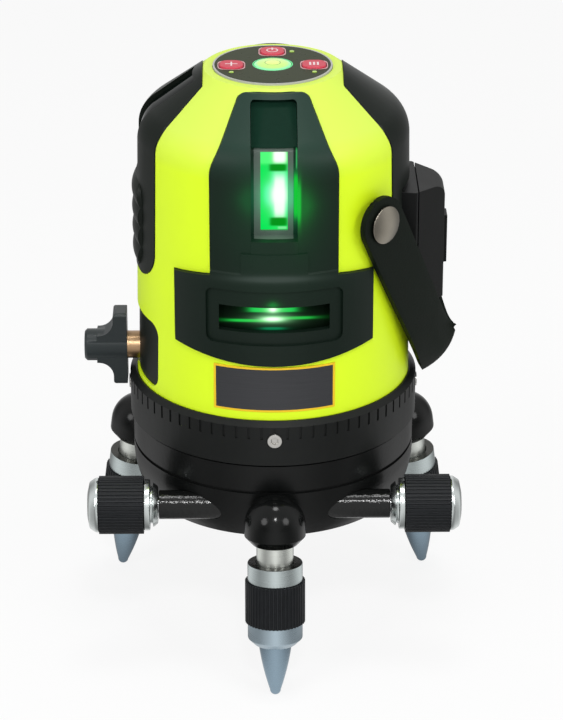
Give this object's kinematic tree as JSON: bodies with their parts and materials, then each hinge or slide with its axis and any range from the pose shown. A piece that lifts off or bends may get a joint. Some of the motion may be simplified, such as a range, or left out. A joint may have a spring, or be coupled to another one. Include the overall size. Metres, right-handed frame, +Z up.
{
  "type": "line laser level",
  "caption": "Self-levelling line laser level with a turning yellow head on a black levelling base with screw feet, fine-adjust knobs, a lock knob, battery box and carrying strap.",
  "frame": {"origin": "mouth of the tripod thread, in the middle of the base's underside", "axes": "+Z up along the head's turning axis, -Y the front with the laser windows, -X the lock knob, +X the battery box"},
  "size_m": [0.1518, 0.1405, 0.2398],
  "materials": {
    "cover_yellow": "satin fluorescent yellow-green",
    "trim_black": "satin black",
    "base_black": "gloss black enamel",
    "ring_black": "black anodised",
    "steel": "turned",
    "silver": "turned and matt",
    "brass": "turned",
    "rubber_black": "matt",
    "strap_black": "soft, matt",
    "glass_clear": "clear",
    "glass_dark": "dark, polished",
    "vial_green": "liquid-filled",
    "key_red": "translucent pink-red",
    "lamp": "translucent",
    "frame_grey": "grey",
    "board_green": "solder resist",
    "cell_grey": "wrapped",
    "plate_grey": "anodised"
  },
  "bodies": {
    "base": {"base_housing": "base_black", "base_plate": "trim_black", "base_screws": "steel", "tripod_bush": "brass", "fine_tubes": "base_black", "leg_arms": "base_black", "leg_studs": "silver"},
    "fine_wheel": {"worm_wheel": "brass"},
    "fine_shaft": {"worm_shaft": "steel", "fine_hubs": "silver", "fine_grips": "rubber_black"},
    "head": {"head_floor": "silver", "head_spindle": "steel", "clutch_washer": "brass", "spindle_nut": "steel", "graduated_ring": "ring_black", "ring_screws": "steel", "body_shell": "cover_yellow", "front_bezel": "trim_black", "window_frame": "frame_grey", "front_glass": "glass_clear", "upper_glass": "glass_dark", "line_glass": "glass_clear", "left_bezel": "trim_black", "left_glass": "glass_dark", "right_bezel": "trim_black", "rear_grip": "trim_black", "keypad_panel": "trim_black", "key_board": "board_green", "bubble_vial": "vial_green", "status_lamps": "lamp", "name_plate": "plate_grey", "lock_plate": "trim_black", "strap_rivets": "steel", "battery_dock": "trim_black", "battery_case": "trim_black", "battery_cells": "cell_grey", "gimbal_frame": "silver", "circuit_board": "board_green"},
    "lock": {"lock_knob": "trim_black", "lock_shaft": "brass"},
    "left_key": {"left_key": "key_red"},
    "right_key": {"right_key": "key_red"},
    "top_key": {"top_key": "key_red"},
    "strap": {"carry_strap": "strap_black"},
    "battery_cover": {"battery_cover": "trim_black"},
    "gimbal": {"gimbal_ring": "silver"},
    "pendulum": {"pendulum": "brass", "laser_modules": "brass", "laser_lenses": "glass_clear"},
    "front_tip": {"front_foot_tip": "silver"},
    "front_sleeve": {"front_foot_sleeve": "silver", "front_foot_grip": "rubber_black"},
    "rear_right_tip": {"rear_right_foot_tip": "silver"},
    "rear_right_sleeve": {"rear_right_foot_sleeve": "silver", "rear_right_foot_grip": "rubber_black"},
    "rear_left_tip": {"rear_left_foot_tip": "silver"},
    "rear_left_sleeve": {"rear_left_foot_sleeve": "silver", "rear_left_foot_grip": "rubber_black"}
  },
  "joints": [
    {"name": "fine_turn", "type": "hinge", "parent": "base", "child": "fine_wheel", "pos_m": [0, 0, 0.0114], "axis": [0, 0, 1], "continuous": true},
    {"name": "fine_knob_turn", "type": "hinge", "parent": "base", "child": "fine_shaft", "pos_m": [0, -0.046, 0.0114], "axis": [1, 0, 0], "continuous": true},
    {"name": "head_turn", "type": "hinge", "parent": "fine_wheel", "child": "head", "pos_m": [0, 0, 0.0342], "axis": [0, 0, 1], "continuous": true},
    {"name": "lock_turn", "type": "hinge", "parent": "head", "child": "lock", "pos_m": [-0.06, 0, 0.061], "axis": [1, 0, 0], "range_deg": [0, 90]},
    {"name": "left_key_press", "type": "slide", "parent": "head", "child": "left_key", "axis": [0, 0, -1], "range_m": [0, 0.0006], "stiffness_N_per_m": 900},
    {"name": "right_key_press", "type": "slide", "parent": "head", "child": "right_key", "axis": [0, 0, -1], "range_m": [0, 0.0006], "stiffness_N_per_m": 900},
    {"name": "top_key_press", "type": "slide", "parent": "head", "child": "top_key", "axis": [0, 0, -1], "range_m": [0, 0.0006], "stiffness_N_per_m": 900},
    {"name": "strap_swing", "type": "hinge", "parent": "head", "child": "strap", "pos_m": [0.0414, 0, 0.129], "axis": [0, -1, 0], "range_deg": [0, 110], "deforming": ["carry_strap"]},
    {"name": "battery_cover_slide", "type": "slide", "parent": "head", "child": "battery_cover", "axis": [0, 0, 1], "range_m": [0, 0.05]},
    {"name": "gimbal_tilt", "type": "hinge", "parent": "head", "child": "gimbal", "pos_m": [0, 0, 0.158], "axis": [1, 0, 0], "range_deg": [-4, 4]},
    {"name": "pendulum_tilt", "type": "hinge", "parent": "gimbal", "child": "pendulum", "pos_m": [0, 0, 0.158], "axis": [0, 1, 0], "range_deg": [-4, 4]},
    {"name": "front_foot_slide", "type": "slide", "parent": "base", "child": "front_tip", "axis": [0, -0.1478, -0.989], "range_m": [-0.006, 0.006]},
    {"name": "front_foot_turn", "type": "hinge", "parent": "front_tip", "child": "front_sleeve", "pos_m": [0, -0.0749, -0.059], "axis": [0, -0.1478, -0.989], "range_deg": [-1455, 1455]},
    {"name": "rear_right_foot_slide", "type": "slide", "parent": "base", "child": "rear_right_tip", "axis": [0.128, 0.0739, -0.989], "range_m": [-0.006, 0.006]},
    {"name": "rear_right_foot_turn", "type": "hinge", "parent": "rear_right_tip", "child": "rear_right_sleeve", "pos_m": [0.06487, 0.03745, -0.059], "axis": [0.128, 0.0739, -0.989], "range_deg": [-1455, 1455]},
    {"name": "rear_left_foot_slide", "type": "slide", "parent": "base", "child": "rear_left_tip", "axis": [-0.128, 0.0739, -0.989], "range_m": [-0.006, 0.006]},
    {"name": "rear_left_foot_turn", "type": "hinge", "parent": "rear_left_tip", "child": "rear_left_sleeve", "pos_m": [-0.06487, 0.03745, -0.059], "axis": [-0.128, 0.0739, -0.989], "range_deg": [-1455, 1455]}
  ],
  "couplings": [
    {"joint": "fine_knob_turn", "follows": "fine_turn", "ratio": -72},
    {"joint": "front_foot_turn", "follows": "front_foot_slide", "rad_per_m": 4188.8},
    {"joint": "rear_right_foot_turn", "follows": "rear_right_foot_slide", "rad_per_m": 4188.8},
    {"joint": "rear_left_foot_turn", "follows": "rear_left_foot_slide", "rad_per_m": 4188.8}
  ]
}
